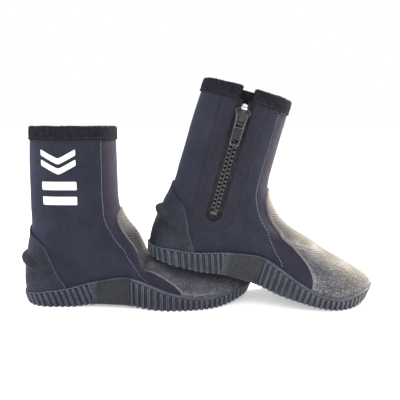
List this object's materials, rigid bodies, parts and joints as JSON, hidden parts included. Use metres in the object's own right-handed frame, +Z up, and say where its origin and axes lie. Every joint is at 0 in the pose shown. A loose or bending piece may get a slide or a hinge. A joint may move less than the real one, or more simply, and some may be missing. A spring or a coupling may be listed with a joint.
{
  "type": "neoprene boots",
  "caption": "Pair of ankle-high zipped neoprene dive boots with ribbed rubber soles and rubber toe and heel caps, one standing and one resting its heel on the other.",
  "frame": {"origin": "under the middle of the pair's bounding box, at floor level", "axes": "+X from the heels towards the toes, +Y away from the side with the printed mark, +Z up"},
  "size_m": [0.4488, 0.1084, 0.281],
  "materials": {
    "neoprene": "nylon-faced neoprene, matte",
    "facing": "nylon-faced neoprene, matte",
    "binding": "stretch knit tape, matte",
    "cap_rubber": "stippled moulded rubber",
    "sole_rubber": "ribbed moulded rubber",
    "lining": "matte",
    "foam": "moulded foam, matte",
    "board": "fibre board, matte",
    "tape": "woven tape, matte",
    "zip_plastic": "moulded acetal, satin",
    "print": "printed ink, matte"
  },
  "bodies": {
    "right_boot": {"right_outsole": "sole_rubber", "right_insole_board": "board", "right_footbed": "foam", "right_front_panel": "neoprene", "right_outer_quarter": "neoprene", "right_inner_quarter": "neoprene", "right_zip_facing": "facing", "right_zip_gusset": "lining", "right_toe_cap": "cap_rubber", "right_heel_cap": "cap_rubber", "right_cuff_binding": "binding", "right_seam_tape_outer": "tape", "right_seam_tape_inner": "tape", "right_print_chevron_upper": "print", "right_print_chevron_lower": "print", "right_print_bar_upper": "print", "right_print_bar_lower": "print", "right_zip_tape_front": "tape", "right_zip_tape_rear": "tape", "right_zip_teeth_front": "zip_plastic", "right_zip_teeth_rear": "zip_plastic", "right_zip_bottom_stop": "zip_plastic", "right_zip_top_stop_front": "zip_plastic", "right_zip_top_stop_rear": "zip_plastic"},
    "right_zip_slider": {"right_zip_slider": "zip_plastic"},
    "right_zip_pull": {"right_zip_pull": "zip_plastic"},
    "left_boot": {"left_outsole": "sole_rubber", "left_insole_board": "board", "left_footbed": "foam", "left_front_panel": "neoprene", "left_outer_quarter": "neoprene", "left_inner_quarter": "neoprene", "left_zip_facing": "facing", "left_zip_gusset": "lining", "left_toe_cap": "cap_rubber", "left_heel_cap": "cap_rubber", "left_cuff_binding": "binding", "left_seam_tape_outer": "tape", "left_seam_tape_inner": "tape", "left_print_chevron_upper": "print", "left_print_chevron_lower": "print", "left_print_bar_upper": "print", "left_print_bar_lower": "print", "left_zip_tape_front": "tape", "left_zip_tape_rear": "tape", "left_zip_teeth_front": "zip_plastic", "left_zip_teeth_rear": "zip_plastic", "left_zip_bottom_stop": "zip_plastic", "left_zip_top_stop_front": "zip_plastic", "left_zip_top_stop_rear": "zip_plastic"},
    "left_zip_slider": {"left_zip_slider": "zip_plastic"},
    "left_zip_pull": {"left_zip_pull": "zip_plastic"}
  },
  "joints": [
    {"name": "left_boot_lift", "type": "slide", "parent": "right_boot", "child": "left_boot", "axis": [0, 0, 1], "range_m": [0, 0.15]},
    {"name": "right_zip_slide", "type": "slide", "parent": "right_boot", "child": "right_zip_slider", "axis": [-0.0001, 0.0257, 0.9997], "range_m": [-0.104, 0]},
    {"name": "right_pull_swing", "type": "hinge", "parent": "right_zip_slider", "child": "right_zip_pull", "pos_m": [-0.157, 0.0406, 0.1964], "axis": [1, 0, 0.0001], "range_deg": [0, 170]},
    {"name": "left_zip_slide", "type": "slide", "parent": "left_boot", "child": "left_zip_slider", "axis": [0.2687, -0.0257, 0.9629], "range_m": [-0.104, 0]},
    {"name": "left_pull_swing", "type": "hinge", "parent": "left_zip_slider", "child": "left_zip_pull", "pos_m": [0.05295, -0.0406, 0.23398], "axis": [-0.9632, 0, 0.2688], "range_deg": [0, 170]}
  ]
}
